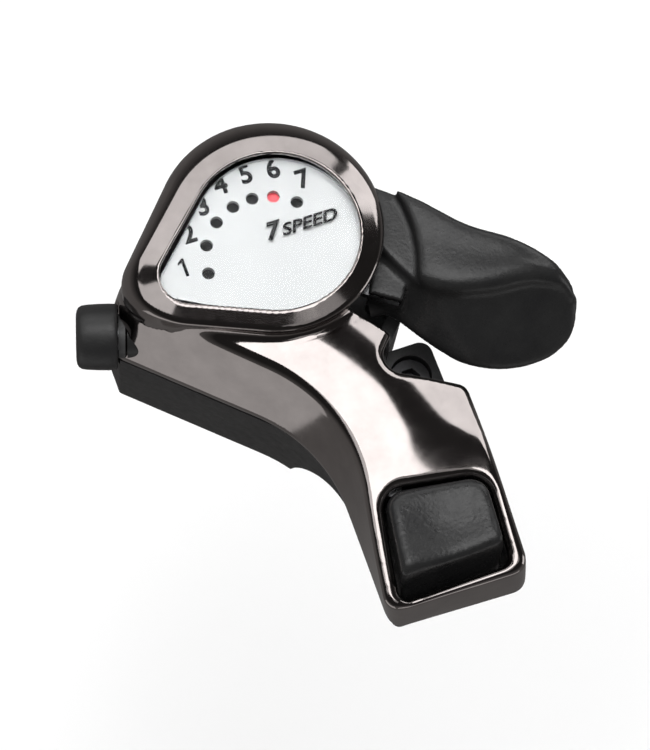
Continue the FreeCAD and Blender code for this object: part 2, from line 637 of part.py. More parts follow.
os.makedirs("parts", exist_ok=True)
for make in NODES:
    shape = make()
    ok = shape.isValid() and len(shape.Solids) > 0
    print(make.__name__, round(shape.Volume, 2), "mm3,", len(shape.Solids), "solid(s)", "" if ok else "NOT VALID")
    shape.exportStep("parts/" + make.__name__ + ".step")
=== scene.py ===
# Looks of a 7-speed thumb shifter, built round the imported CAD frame. Shapes are worked out in millimetres, in
# the part's own frame. The cover, the lever and the button are signed distance fields that are meshed here.

import json
import math

import bmesh
import bpy
import numpy as np
from mathutils import Matrix, Vector


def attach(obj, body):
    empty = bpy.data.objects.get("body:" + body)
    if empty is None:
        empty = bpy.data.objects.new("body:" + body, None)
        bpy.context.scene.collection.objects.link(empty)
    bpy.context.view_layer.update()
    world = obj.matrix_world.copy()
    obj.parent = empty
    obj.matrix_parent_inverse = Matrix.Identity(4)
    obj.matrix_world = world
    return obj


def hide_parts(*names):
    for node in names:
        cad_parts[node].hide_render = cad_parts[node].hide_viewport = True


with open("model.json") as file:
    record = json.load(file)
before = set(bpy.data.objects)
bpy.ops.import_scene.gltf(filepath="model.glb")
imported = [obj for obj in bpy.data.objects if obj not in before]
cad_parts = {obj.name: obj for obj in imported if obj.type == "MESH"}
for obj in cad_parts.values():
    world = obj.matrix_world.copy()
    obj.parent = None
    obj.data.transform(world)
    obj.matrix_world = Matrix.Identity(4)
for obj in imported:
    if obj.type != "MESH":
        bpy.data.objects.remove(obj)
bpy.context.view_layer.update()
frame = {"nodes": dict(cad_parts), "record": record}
MM = 0.001
FINE = 1.0      # grid coarsening while trying things

AXLE = (-17.5, 34.5)                   # main axle, round which the lever and the drum turn


# ---- signed distance helpers, all in mm ----------------------------------------------------------
def smooth_max(a, b, r):
    h = np.maximum(r - np.abs(a - b), 0) / r
    return np.maximum(a, b) + h * h * r * 0.25


def smooth_min(a, b, r):
    return -smooth_max(-a, -b, r)


def polyline(corners, per_arc=24):
    """Points round a closed outline of (x, y, fillet radius) corners."""
    pts = []
    n = len(corners)
    for i, (x, y, r) in enumerate(corners):
        here = np.array((x, y), float)
        back = np.array(corners[i - 1][:2], float) - here
        ahead = np.array(corners[(i + 1) % n][:2], float) - here
        back /= np.linalg.norm(back)
        ahead /= np.linalg.norm(ahead)
        half = math.acos(np.clip(back @ ahead, -1, 1)) / 2
        bis = back + ahead
        bis /= np.linalg.norm(bis)
        centre = here + bis * r / math.sin(half)
        a0 = here + back * r / math.tan(half) - centre
        a1 = here + ahead * r / math.tan(half) - centre
        t0, t1 = math.atan2(a0[1], a0[0]), math.atan2(a1[1], a1[0])
        turn = (t1 - t0 + math.pi) % (2 * math.pi) - math.pi
        for k in range(per_arc + 1):
            t = t0 + turn * k / per_arc
            pts.append(centre + r * np.array((math.cos(t), math.sin(t))))
    return np.array(pts)


class Outline:
    """Signed distance to a closed outline, negative inside.

    It is worked out once on a fine grid, then read by cubic patches.
    """
    STEP = 0.25

    def __init__(self, corners, margin=8.0):
        p = polyline(corners)
        self.lo = p.min(0) - margin
        size = ((p.max(0) + margin - self.lo) / self.STEP).astype(int) + 4
        x, y = np.meshgrid(*(self.lo[i] + self.STEP * np.arange(size[i]) for i in (0, 1)), indexing="ij")
        ends = np.roll(p, -1, axis=0)
        d2 = np.full(x.shape, 1e18)
        inside = np.zeros(x.shape, bool)
        for (ax, ay), (bx, by) in zip(p, ends):
            ex, ey = bx - ax, by - ay
            length = ex * ex + ey * ey
            if length < 1e-10:
                continue
            t = np.clip(((x - ax) * ex + (y - ay) * ey) / length, 0, 1)
            d2 = np.minimum(d2, (x - ax - t * ex) ** 2 + (y - ay - t * ey) ** 2)
            if ay != by:
                inside ^= ((ay > y) != (by > y)) & (x < ex * (y - ay) / ey + ax)
        self.grid = np.where(inside, -np.sqrt(d2), np.sqrt(d2))

    def __call__(self, x, y):
        x, y = np.broadcast_arrays(np.asarray(x, float), np.asarray(y, float))
        n = self.grid.shape
        u = np.clip((x - self.lo[0]) / self.STEP, 1, n[0] - 2.001)
        v = np.clip((y - self.lo[1]) / self.STEP, 1, n[1] - 2.001)
        i, j = u.astype(int), v.astype(int)
        wu, wv = self.weights(u - i), self.weights(v - j)
        total = 0.0
        for a in range(4):
            row = 0.0
            for b in range(4):
                row = row + wv[b] * self.grid[i + a - 1, j + b - 1]
            total = total + wu[a] * row
        return total

    @staticmethod
    def weights(t):
        """Cubic B-spline weights, which also soften the outline's joints a little."""
        return ((1 - t) ** 3 / 6, (3 * t ** 3 - 6 * t * t + 4) / 6,
                (-3 * t ** 3 + 3 * t * t + 3 * t + 1) / 6, t ** 3 / 6)


def hull(x, y, c1, c2):
    """Signed distance to the hull of two circles (x, y, r)."""
    x, y = np.broadcast_arrays(x, y)
    (x1, y1, r1), (x2, y2, r2) = c1, c2
    dx, dy = x2 - x1, y2 - y1
    h = math.hypot(dx, dy)
    ux, uy = dx / h, dy / h
    u = (x - x1) * ux + (y - y1) * uy
    v = np.abs(-(x - x1) * uy + (y - y1) * ux)
    b = (r1 - r2) / h
    a = math.sqrt(1 - b * b)
    k = -b * v + a * u
    side = v * a + u * b - r1
    return np.where(k < 0, np.hypot(u, v) - r1, np.where(k > a * h, np.hypot(u - h, v) - r2, side))


def surface(name, field, lo, hi, step, passes=2):
    """Mesh of the zero surface of field(x, y, z), by surface nets, then pulled onto the surface."""
    step = step * FINE
    axes = [np.arange(l, h + step, step) for l, h in zip(lo, hi)]
    nx, ny, nz = (len(a) for a in axes)
    f = field(axes[0][:, None, None], axes[1][None, :, None], axes[2][None, None, :])
    f = np.broadcast_to(f, (nx, ny, nz)).astype(np.float64)
    s = f < 0
    cells = np.zeros((nx - 1, ny - 1, nz - 1), np.int8)
    for i in (0, 1):
        for j in (0, 1):
            for k in (0, 1):
                cells += s[i:nx - 1 + i, j:ny - 1 + j, k:nz - 1 + k]
    mixed = (cells > 0) & (cells < 8)
    index = np.full(mixed.shape, -1, np.int64)
    cx, cy, cz = np.nonzero(mixed)
    index[cx, cy, cz] = np.arange(len(cx))
    total = np.zeros((len(cx), 3))
    count = np.zeros(len(cx))
    corners = [(i, j, k) for i in (0, 1) for j in (0, 1) for k in (0, 1)]
    for a in corners:
        for b in corners:
            if sum(b) - sum(a) != 1 or any(q < p for p, q in zip(a, b)):
                continue
            fa = f[cx + a[0], cy + a[1], cz + a[2]]
            fb = f[cx + b[0], cy + b[1], cz + b[2]]
            cross = (fa < 0) != (fb < 0)
            t = np.where(cross, fa / np.where(fa == fb, 1, fa - fb), 0)
            for axis in range(3):
                total[:, axis] += np.where(cross, a[axis] + t * (b[axis] - a[axis]), 0)
            count += cross
    p = total / count[:, None]
    p += np.stack([cx, cy, cz], 1)
    p = p * step + np.array([a[0] for a in axes])
    faces = []
    for axis in range(3):
        u, v = (axis + 1) % 3, (axis + 2) % 3
        cut_lo = [slice(None)] * 3
        cut_hi = [slice(None)] * 3
        cut_lo[axis] = slice(0, -1)
        cut_hi[axis] = slice(1, None)
        for w in (u, v):
            cut_lo[w] = slice(1, -1)
            cut_hi[w] = slice(1, -1)
        low, high = s[tuple(cut_lo)], s[tuple(cut_hi)]
        for flip, which in ((False, low & ~high), (True, ~low & high)):
            at = [c.copy() for c in np.nonzero(which)]
            at[u] += 1
            at[v] += 1
            ring = []
            for du, dv in ((-1, -1), (0, -1), (0, 0), (-1, 0)):
                c = [a.copy() for a in at]
                c[u] += du
                c[v] += dv
                ring.append(index[c[0], c[1], c[2]])
            q = np.stack(ring, 1)
            faces.append(q[:, ::-1] if flip else q)
    faces = np.concatenate(faces)
    e = step * 0.05
    for _ in range(passes):
        here = field(p[:, 0], p[:, 1], p[:, 2])
        g = np.stack([field(*(p + shift).T) - field(*(p - shift).T) for shift in e * np.eye(3)], 1)
        g /= 2 * e
        g2 = np.maximum((g * g).sum(1), 0.25)
        move = -(here / g2)[:, None] * g
        size = np.linalg.norm(move, axis=1)
        move *= np.minimum(1, 0.5 * step / np.maximum(size, 1e-9))[:, None]
        p = p + move
    return make_mesh(name, p, faces)


def make_mesh(name, points, faces, smooth=True):
    mesh = bpy.data.meshes.new(name)
    mesh.from_pydata((np.asarray(points) * MM).tolist(), [], np.asarray(faces).tolist()
                     if isinstance(faces, np.ndarray) else faces)
    mesh.validate()
    mesh.polygons.foreach_set("use_smooth", [smooth] * len(mesh.polygons))
    mesh.update()
    obj = bpy.data.objects.new(name, mesh)
    bpy.context.collection.objects.link(obj)
    return obj


# ---- materials -----------------------------------------------------------------------------------
class Nodes:
    """Small helper that builds a node tree for one material."""

    def __init__(self, name):
        self.mat = bpy.data.materials.new(name)
        self.mat.use_nodes = True
        self.tree = self.mat.node_tree
        self.bsdf = self.tree.nodes["Principled BSDF"]
        self.coord = self.tree.nodes.new("ShaderNodeTexCoord").outputs["Object"]

    def node(self, kind, **inputs):
        n = self.tree.nodes.new(kind)
        for key, value in inputs.items():
            self.put(n.inputs[key.replace("_", " ")], value)
        return n

    def put(self, socket, value):
        if hasattr(value, "is_output"):
            self.tree.links.new(value, socket)
        else:
            socket.default_value = value

    def noise(self, scale, detail=4.0, rough=0.55, stretch=None):
        coord = self.coord
        if stretch:
            mapping = self.node("ShaderNodeMapping", Vector=coord)
            mapping.inputs["Scale"].default_value = stretch
            coord = mapping.outputs["Vector"]
        n = self.node("ShaderNodeTexNoise", Vector=coord, Scale=scale, Detail=detail, Roughness=rough)
        return n.outputs["Fac"]

    def cells(self, scale):
        n = self.node("ShaderNodeTexVoronoi", Vector=self.coord, Scale=scale)
        n.feature = "SMOOTH_F1"
        return n.outputs["Distance"]

    def ramp(self, fac, low, high, a=0.3, b=0.7):
        n = self.node("ShaderNodeMapRange", Value=fac)
        n.inputs["From Min"].default_value = a
        n.inputs["From Max"].default_value = b
        n.inputs["To Min"].default_value = low
        n.inputs["To Max"].default_value = high
        return n.outputs["Result"]

    def mix(self, fac, a, b):
        n = self.tree.nodes.new("ShaderNodeMix")
        n.data_type = "RGBA"
        self.put(n.inputs[0], fac)
        self.put(n.inputs[6], a)
        self.put(n.inputs[7], b)
        return n.outputs[2]

    def bump(self, height, distance, strength=1.0, normal=None):
        n = self.node("ShaderNodeBump", Height=height, Distance=distance, Strength=strength)
        if normal:
            self.tree.links.new(normal, n.inputs["Normal"])
        return n.outputs["Normal"]

    def set(self, **inputs):
        for key, value in inputs.items():
            self.put(self.bsdf.inputs[key.replace("_", " ")], value)
        return self.mat


def moulded(name, grey, grain, depth, low, high):
    """Grained black plastic: fine cells, cloudy roughness, slight colour drift."""
    m = Nodes(name)
    drift = m.ramp(m.noise(160), 0, 1)
    base = m.mix(drift, (grey * 0.85, grey * 0.85, grey * 0.88, 1), (grey * 1.15 + 0.0012,) * 3 + (1,))
    rough = m.ramp(m.noise(700, 3), low, high)
    normal = m.bump(m.noise(grain, 2, 0.45), depth, 0.8)
    normal = m.bump(m.cells(grain * 0.55), depth * 0.8, 0.6, normal)
    return m.set(Base_Color=base, Roughness=rough, Normal=normal, IOR=1.5)


def metal(name, colour, low, high, stretch=None, grain=1500, depth=0.00001):
    """Metal with a slight colour drift and fine marks, which stretch draws out along one axis."""
    m = Nodes(name)
    drift = m.ramp(m.noise(220), 0, 1)
    base = m.mix(drift, tuple(c * 0.9 for c in colour) + (1,), tuple(min(1, c * 1.06) for c in colour) + (1,))
    rough = m.ramp(m.noise(grain, 5, 0.6, stretch), low, high)
    normal = m.bump(m.noise(grain, 4, 0.6, stretch), depth, 0.35)
    return m.set(Base_Color=base, Roughness=rough, Metallic=1.0, Normal=normal)


MATERIALS = {
    "smoked_chrome": metal("smoked_chrome", (0.40, 0.365, 0.355), 0.07, 0.11, grain=500, depth=0.000002),
    "black_moulding": moulded("black_moulding", 0.016, 2600, 0.00003, 0.34, 0.46),
    "lever_moulding": moulded("lever_moulding", 0.014, 2300, 0.000035, 0.27, 0.36),
    "button_moulding": moulded("button_moulding", 0.015, 1900, 0.00006, 0.25, 0.36),
    "dark_moulding": moulded("dark_moulding", 0.045, 2200, 0.00002, 0.4, 0.5),
    "zinc_steel": metal("zinc_steel", (0.58, 0.585, 0.6), 0.25, 0.4, (1, 1, 8)),
    "black_steel": metal("black_steel", (0.12, 0.12, 0.125), 0.45, 0.6),
    "spring_steel": metal("spring_steel", (0.5, 0.5, 0.52), 0.2, 0.32),
}


def dial_white():
    m = Nodes("dial_white")
    base = m.mix(m.ramp(m.noise(90), 0, 1), (0.50, 0.51, 0.515, 1), (0.54, 0.55, 0.555, 1))
    rough = m.ramp(m.noise(900, 3), 0.42, 0.5)
    return m.set(Base_Color=base, Roughness=rough, Normal=m.bump(m.noise(2500, 2), 0.000006, 0.3))


def signal_red():
    m = Nodes("signal_red")
    base = m.mix(m.ramp(m.noise(800), 0, 1), (0.72, 0.035, 0.06, 1), (0.82, 0.06, 0.085, 1))
    return m.set(Base_Color=base, Roughness=m.ramp(m.noise(900), 0.3, 0.4),
                 Normal=m.bump(m.noise(2000), 0.000008, 0.4))


def clear_lens():
    m = Nodes("clear_lens")
    rough = m.ramp(m.noise(300), 0.0, 0.02)
    return m.set(Base_Color=(0.98, 0.985, 0.985, 1), Roughness=rough, Transmission_Weight=1.0, IOR=1.12,
                 Normal=m.bump(m.noise(260, 2), 0.000001, 0.1))


def printed_ink():
    m = Nodes("printed_ink")
    base = m.mix(m.ramp(m.noise(900), 0, 1), (0.008, 0.008, 0.009, 1), (0.02, 0.02, 0.022, 1))
    return m.set(Base_Color=base, Roughness=m.ramp(m.noise(1500), 0.5, 0.65), Specular_IOR_Level=0.15,
                 Normal=m.bump(m.noise(3000), 0.000004, 0.3))


MATERIALS["dial_white"] = dial_white()
MATERIALS["signal_red"] = signal_red()
MATERIALS["clear_lens"] = clear_lens()
INK = printed_ink()

for row in frame["record"]["subparts"]:
    mesh = frame["nodes"][row["node"]].data
    mesh.materials.clear()
    mesh.materials.append(MATERIALS[row["material_slot"]])


def piece(obj, slot, body, *nodes, material=None):
    """Gives the object its material, picked by the slot's name unless one is passed, and its body, and hides
    the CAD nodes that it replaces.
    """
    obj.data.materials.clear()
    obj.data.materials.append(material or MATERIALS[slot])
    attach(obj, body)
    if nodes:
        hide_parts(*nodes)
    return obj


# ---- camera, floor and lights --------------------------------------------------------------------
TILT, PHI, ALPHA = 20.0, 78.0, 18.0     # how the part's +Z leans, and where +X points, in the picture
SCALE, DIST = 6.8, 380.0                # image pixels to the millimetre at the camera's distance
IMAGE = (650, 750)
TARGET = np.array((-17.5, 34.5, 32.0))  # point of the part that the view is placed by
TARGET_AT = (270.9, 256.8)              # where that point stands in the picture
SENSOR = 24.0


def camera_basis():
    t, p, a = (math.radians(v) for v in (TILT, PHI, ALPHA))
    up = np.array((math.sin(t) * math.cos(p), math.sin(t) * math.sin(p), math.cos(t)))
    x = np.array((math.cos(a), math.sin(a), 0.0))
    x[2] = -(x[0] * up[0] + x[1] * up[1]) / up[2]
    x /= np.linalg.norm(x)
    return np.stack([x, np.cross(up, x), up], 1)      # rows: camera right, up, back in the part's frame


BASIS = camera_basis()
RIGHT = (TARGET_AT[0] - IMAGE[0] / 2) / SCALE
ABOVE = (IMAGE[1] / 2 - TARGET_AT[1]) / SCALE
CAMERA = TARGET - BASIS.T @ np.array((RIGHT, ABOVE, -DIST))


cam_data = bpy.data.cameras.new("camera")
cam_data.sensor_fit = "VERTICAL"
cam_data.sensor_height = SENSOR
cam_data.lens = SENSOR * SCALE * DIST / IMAGE[1]
cam_data.clip_start = 0.01
cam = bpy.data.objects.new("camera", cam_data)
bpy.context.collection.objects.link(cam)
cam.matrix_world = Matrix.Translation(Vector(CAMERA * MM)) @ Matrix(BASIS.T.tolist()).to_4x4()
bpy.context.scene.camera = cam

FLOOR_Z, FLOOR_HALF = -160.0, 1500.0
floor_mat = Nodes("floor")
tone = floor_mat.ramp(floor_mat.noise(3), 0, 1)
floor_mat.set(Base_Color=floor_mat.mix(tone, (0.93, 0.93, 0.93, 1), (0.96, 0.96, 0.96, 1)), Roughness=0.9)
floor_corners = [(a * FLOOR_HALF, b * FLOOR_HALF, FLOOR_Z) for a, b in ((-1, -1), (1, -1), (1, 1), (-1, 1))]
floor = make_mesh("floor", floor_corners, [(0, 1, 2, 3)], smooth=False)
floor.data.materials.append(floor_mat.mat)
floor.visible_glossy = False      # the shell mirrors a dark studio, not the floor

world = bpy.data.worlds.new("world")
world.use_nodes = True
sky = world.node_tree.nodes["Background"]
sky.inputs["Color"].default_value = (1.0, 0.97, 0.955, 1)
# The studio is darker overhead than near the ground.
direction = world.node_tree.nodes.new("ShaderNodeTexCoord").outputs["Generated"]
height = world.node_tree.nodes.new("ShaderNodeSeparateXYZ")
fade = world.node_tree.nodes.new("ShaderNodeMapRange")
for key, value in (("From Min", -0.2), ("From Max", 0.5), ("To Min", 0.15), ("To Max", 0.025)):
    fade.inputs[key].default_value = value
world.node_tree.links.new(direction, height.inputs[0])
world.node_tree.links.new(height.outputs["Z"], fade.inputs["Value"])
world.node_tree.links.new(fade.outputs["Result"], sky.inputs["Strength"])
bpy.context.scene.world = world
bpy.context.scene.view_settings.view_transform = "Standard"


MIDDLE = Vector((-10.0, 20.0, 24.0)) * MM     # every light faces this point


def softbox(name, direction, distance, size, radiance, glossy=True):
    """Rectangular light that faces the object. The direction is in the part's own frame."""
    data = bpy.data.lights.new(name, "AREA")
    data.shape = "RECTANGLE"
    data.size, data.size_y = size[0] * MM, size[1] * MM
    data.energy = radiance * math.pi * size[0] * size[1] * MM * MM
    light = bpy.data.objects.new(name, data)
    bpy.context.collection.objects.link(light)
    at = MIDDLE + Vector(direction).normalized() * distance * MM
    facing = (MIDDLE - at).to_track_quat("-Z", "Y").to_matrix().to_4x4()
    light.matrix_world = Matrix.Translation(at) @ facing
    light.visible_glossy = glossy


softbox("fill", (-0.1, 0.1, 1.0), 900, (900, 900), 4.7, glossy=False)
softbox("key", (0.062, 0.168, 0.98), 421, (227, 229), 2.7)
softbox("under", (0.20, -0.24, 0.95), 440, (190, 110), 0.42)
softbox("far_strip", (0.05, 0.75, 0.66), 450, (520, 170), 1.3)
softbox("left_panel", (-0.46, 0.24, 0.86), 420, (150, 260), 1.1)
softbox("right_panel", (0.76, 0.46, 0.46), 420, (150, 260), 1.8)
softbox("side_panel", (0.90, -0.42, 0.08), 300, (120, 160), 1.2)
softbox("low_rear", (-0.70, -0.55, -0.35), 260, (260, 160), 0.5)
softbox("rear", (0.15, -0.90, -0.35), 260, (200, 60), 0.5)

# The cable leaves the drum along this line, and the barrel adjuster turns on it.
BARREL_AZ = math.radians(162.0)
ALONG = np.array((math.cos(BARREL_AZ), math.sin(BARREL_AZ), 0.0))
ACROSS = np.array((-math.sin(BARREL_AZ), math.cos(BARREL_AZ), 0.0))
DRUM_R, CABLE_Z = 7.8, 20.0
EXIT = np.array((AXLE[0], AXLE[1], CABLE_Z)) + DRUM_R * ACROSS
KNOB_START = 22.6


# ---- cover ---------------------------------------------------------------------------------------
def around(circle, start, end):
    """Outline corner whose fillet is the circle's arc between two angles."""
    x, y, r = circle
    reach = r / math.cos(math.radians((end - start) / 2))
    middle = math.radians((start + end) / 2)
    return (x + reach * math.cos(middle), y + reach * math.sin(middle), r)


TOWER = (-16.5, 39.8, 18.2)
TOWER_TOP = (-15.5, 39.5, 16.6)
SKIRT = Outline([
    (-42.8, 31.2, 1.6), (-18.5, 8.4, 25.0), (-18.0, -21.4, 2.0), (3.4, -22.4, 2.5), (4.3, 8.6, 1.6),
    (-7.2, 14.6, 3.0), around(TOWER, -62.0, 38.0), around(TOWER, 38.0, 139.0), (-42.8, 37.2, 3.0)])
SHOULDER = Outline([
    (-37.2, 33.4, 3.0), (-13.7, 10.0, 25.0), (-19.9, -20.4, 2.0), (2.0, -20.9, 2.5), (3.9, 7.9, 1.6),
    (-8.8, 13.9, 3.0), around(TOWER_TOP, -62.0, 38.0), around(TOWER_TOP, 38.0, 139.0), (-37.2, 39.8, 2.5)])
BUTTON_HOLE = Outline([(-14.4, -3.4, 3.5), (-17.2, -19.9, 1.5), (-0.1, -19.6, 1.5), (1.4, -6.0, 3.5)])
DISPLAY = (-15.9, 37.3, 12.5)
WINDOW = Outline([around(DISPLAY, -113.0, -31.0), around(DISPLAY, -31.0, 51.0), around(DISPLAY, 51.0, 133.0),
                  (-38.0, 33.4, 4.6)])
SEAM_Z, SHOULDER_Z, BEZEL_Z, WALL = 17.0, 30.0, 34.5, 1.8
RING_W = 3.5                            # width of the ring round the display
# Everything to the right of the arm's ridge line.
RIDGE = Outline([
    (-60.7, 56.8, 2.0), (-13.7, 10.0, 25.0), (-26.0, -50.0, 2.0), (40.0, -50.0, 2.0), (40.0, 70.0, 2.0),
    (-50.0, 70.0, 2.0)], 2.0)


def arm_top(x, y):
    """Height of the arm's top: crowned along the ridge, and sloping down beside the button."""
    across = np.clip(-RIDGE(x, y), -1.0, 22.0) - 5.5
    behind = 2.0 - y
    slope = 0.5 * (behind + np.sqrt(behind * behind + 4.0))
    fade = 1 / (1 + np.exp(-y / 3.0)) / (1 + np.exp(y - 28.0))
    return SHOULDER_Z + 0.25 - 0.018 * across * across * fade - 0.109 * slope


def wedge(x, y, start, end):
    """Signed distance to the wedge between two angles about the axle."""
    px, py = x - AXLE[0], y - AXLE[1]
    a, b = math.radians(start), math.radians(end)
    return np.maximum(-(math.cos(a) * py - math.sin(a) * px), -(px * math.sin(b) - py * math.cos(b)))


def cover_field(x, y, z):
    """Shell with leaning flanks, the display's ring, and openings for the lever, the button and the barrel."""
    t = np.clip((z - SEAM_Z) / (SHOULDER_Z - SEAM_Z), -0.3, 1.3)
    flank = (1 - t) * SKIRT(x, y) + t * SHOULDER(x, y) - 0.5 * np.clip(t * (1 - t), 0, 1)
    lower = flank + (SEAM_Z + 1.7 - z) * 0.5
    edge = smooth_max(flank, lower, 0.25)
    top = arm_top(x, y)
    body = smooth_max(edge, z - top, 1.1)
    rise = np.clip((z - 29.6) / 4.4, 0, 2) ** 1.8
    foot = hull(x, y, (-15.6, 39.7, 17.0), (-33.4, 36.0, 6.4))
    window = WINDOW(x, y)
    crest = window - RING_W
    ring = (1 - rise) * foot + rise * crest
    ring_top = BEZEL_Z - 0.27 * np.clip(window, 0, 6)
    bezel = np.maximum(smooth_max(ring * 0.92, z - ring_top, 0.9), 28.0 - z)
    blend = 0.3 + 1.3 / (1 + np.exp((y - 29.5) / 1.2)) / (1 + np.exp((-32.5 - x) / 0.8))
    solid = smooth_min(body, bezel, blend)
    inner = np.maximum(flank + WALL, z - np.minimum(top, SHOULDER_Z) + WALL)
    solid = np.maximum(solid, -inner)
    solid = np.maximum(solid, SEAM_Z - z)
    lip = 0.7 * np.clip((33.7 - z) / 0.6, 0, 1)
    solid = smooth_max(solid, lip - window, 0.2)
    spoke = np.hypot(x - AXLE[0], y - AXLE[1])
    slot = np.maximum(np.maximum(8.0 - spoke, z - SHOULDER_Z - 0.7), wedge(x, y, -50.0, 82.0))
    solid = smooth_max(solid, -slot, 0.3)
    along = (x - EXIT[0]) * ALONG[0] + (y - EXIT[1]) * ALONG[1]
    off = np.hypot((x - EXIT[0]) * ACROSS[0] + (y - EXIT[1]) * ACROSS[1], z - EXIT[2])
    solid = smooth_max(solid, -np.maximum(off - 5.35, KNOB_START - 0.25 - along), 0.3)
    opening = BUTTON_HOLE(x, y) - np.clip(z - (top - 0.8), 0, 3) * 0.7
    return smooth_max(solid, -opening, 0.6)


cover = surface("top_cover_shell", cover_field, (-44.5, -24.5, 16.6), (6.0, 59.5, 35.2), 0.34)
piece(cover, "smoked_chrome", "root", "top_cover")


# ---- lever ---------------------------------------------------------------------------------------
def catmull(points, per, closed):
    """Smooth curve through the points, with the same count of steps between each pair."""
    p = np.asarray(points, float)
    n = len(p)
    spans = n if closed else n - 1
    out = []
    for i in range(spans):
        if closed:
            a, b, c, d = (p[(i + k) % n] for k in (-1, 0, 1, 2))
        else:
            b, c = p[i], p[i + 1]
            a = p[i - 1] if i else 2 * b - c
            d = p[i + 2] if i + 2 < n else 2 * c - b
        for k in range(per):
            t = k / per
            out.append(0.5 * (2 * b + (c - a) * t + (2 * a - 5 * b + 4 * c - d) * t * t
                              + (3 * b - a - 3 * c + d) * t ** 3))
    if not closed:
        out.append(p[-1])
    return np.array(out)


def lever_section(x, far, near, bottom, top_z, bottom_z):
    """Points round the paddle at one place along it: flat top, crest, groove, thumb face, undercut far side."""
    span = near - bottom
    drop = top_z - bottom_z
    return np.array([
        (x, far, top_z - 0.5), (x, far - 1.2, top_z - 0.05), (x, (far + near) / 2, top_z - 0.1),
        (x, near + 1.6, top_z + 0.05), (x, near - 0.1, top_z - 0.8),
        (x, near - 0.9, top_z - 0.24 * drop), (x, near - 0.34 * span, top_z - 0.42 * drop),
        (x, near - 0.66 * span, top_z - 0.62 * drop), (x, near - 0.93 * span, bottom_z + 0.2 * drop),
        (x, bottom + 0.2, bottom_z + 0.06 * drop), (x, bottom + 2.4, bottom_z + 0.02 * drop),
        (x, bottom + 5.5, bottom_z + 0.1 * drop), (x, (far + bottom) / 2 + 3.0, bottom_z + 0.35 * drop),
        (x, far - 1.3, top_z - 0.38 * drop), (x, far - 0.2, top_z - 0.14 * drop),
    ])


# Stations along the lever: x, far edge, near crest, near foot, top and bottom heights.
STATIONS = [
    (-2.0, 43.6, 33.5, 24.0, 30.2, 20.8), (2.5, 40.6, 24.6, 17.2, 31.2, 20.2),
    (6.5, 36.6, 21.6, 12.8, 31.8, 19.6), (12.0, 30.4, 20.0, 10.2, 32.0, 19.2),
    (18.0, 26.0, 19.4, 9.6, 31.8, 19.4), (22.3, 21.6, 17.8, 11.0, 30.7, 20.4),
    (24.2, 18.6, 16.4, 13.2, 28.4, 22.6), (24.75, 17.2, 16.2, 14.8, 26.6, 24.4),
]


LEVER_PLATE_Z = 26.2                    # middle of the steel plate that the lever is moulded on


def polygon_distance(p, u, v):
    """Signed distance in a plane to a closed polygon."""
    d2 = np.full(np.broadcast_shapes(u.shape, v.shape), 1e18)
    inside = np.zeros(d2.shape, bool)
    for (au, av), (bu, bv) in zip(p, np.roll(p, -1, axis=0)):
        eu, ev = bu - au, bv - av
        t = np.clip(((u - au) * eu + (v - av) * ev) / (eu * eu + ev * ev + 1e-12), 0, 1)
        d2 = np.minimum(d2, (u - au - t * eu) ** 2 + (v - av - t * ev) ** 2)
        if av != bv:
            inside ^= ((av > v) != (bv > v)) & (u < eu * (v - av) / ev + au)
    return np.where(inside, -np.sqrt(d2), np.sqrt(d2))


def lever_field(x, y, z):
    """Paddle swept through its stations, joined to the curved root, on a grid."""
    sections = np.array([lever_section(*s) for s in STATIONS])
    dense = [catmull(sections[:, k], 8, False) for k in range(sections.shape[1])]
    dense = np.array(dense).transpose(1, 0, 2)
    places = dense[:, 0, 0]
    slices = []
    for here in x.ravel():
        i = int(np.clip(np.searchsorted(places, here) - 1, 0, len(places) - 2))
        t = np.clip((here - places[i]) / (places[i + 1] - places[i]), 0, 1)
        ring = catmull((1 - t) * dense[i, :, 1:] + t * dense[i + 1, :, 1:], 3, True)
        d = polygon_distance(ring, y[0], z[0])
        past = max(here - places[-1], 0)
        slices.append(np.where(d > 0, np.hypot(d, past), d + past) if past else d)
    body = np.array(slices)
    spoke = np.hypot(x - AXLE[0], y - AXLE[1])
    root = np.maximum(np.abs(spoke - 17.85) - 2.65, np.abs(z - 24.2) - 3.8)
    root = np.maximum(root, wedge(x, y, -34.0, 12.0))
    body = smooth_min(body, root, 1.0)
    body = smooth_max(body, -np.maximum(spoke - 21.9, 29.7 - z), 0.6)
    body = np.maximum(body, 15.2 - spoke)
    plate_slot = np.maximum(spoke - 20.1, np.abs(z - LEVER_PLATE_Z) - 0.75)
    plate_slot = np.maximum(plate_slot, wedge(x, y, -34.2, 14.2))
    return np.maximum(body, -plate_slot)


def bake(obj):
    """Applies every modifier on the object."""
    deps = bpy.context.evaluated_depsgraph_get()
    mesh = bpy.data.meshes.new_from_object(obj.evaluated_get(deps))
    obj.modifiers.clear()
    obj.data = mesh
    mesh.polygons.foreach_set("use_smooth", [True] * len(mesh.polygons))


def recalc(obj):
    """Turns every face outwards."""
    bm = bmesh.new()
    bm.from_mesh(obj.data)
    bmesh.ops.recalc_face_normals(bm, faces=bm.faces)
    bm.to_mesh(obj.data)
    bm.free()


lever = surface("thumb_lever_body", lever_field, (-5.0, 7.5, 18.4), (26.0, 46.5, 33.2), 0.4, passes=0)
smooth = lever.modifiers.new("smooth", "SMOOTH")
smooth.factor = 0.5
smooth.iterations = 3
bake(lever)
piece(lever, "lever_moulding", "lever", "thumb_lever")


# ---- button --------------------------------------------------------------------------------------
def box_field(x, y, z, x0, x1, y0, y1, z0, z1):
    """Box given by its limits along each axis."""
    spans = ((x, x0, x1), (y, y0, y1), (z, z0, z1))
    dx, dy, dz = (np.abs(v - (low + high) / 2) - (high - low) / 2 for v, low, high in spans)
    return np.maximum(np.maximum(dx, dy), dz)


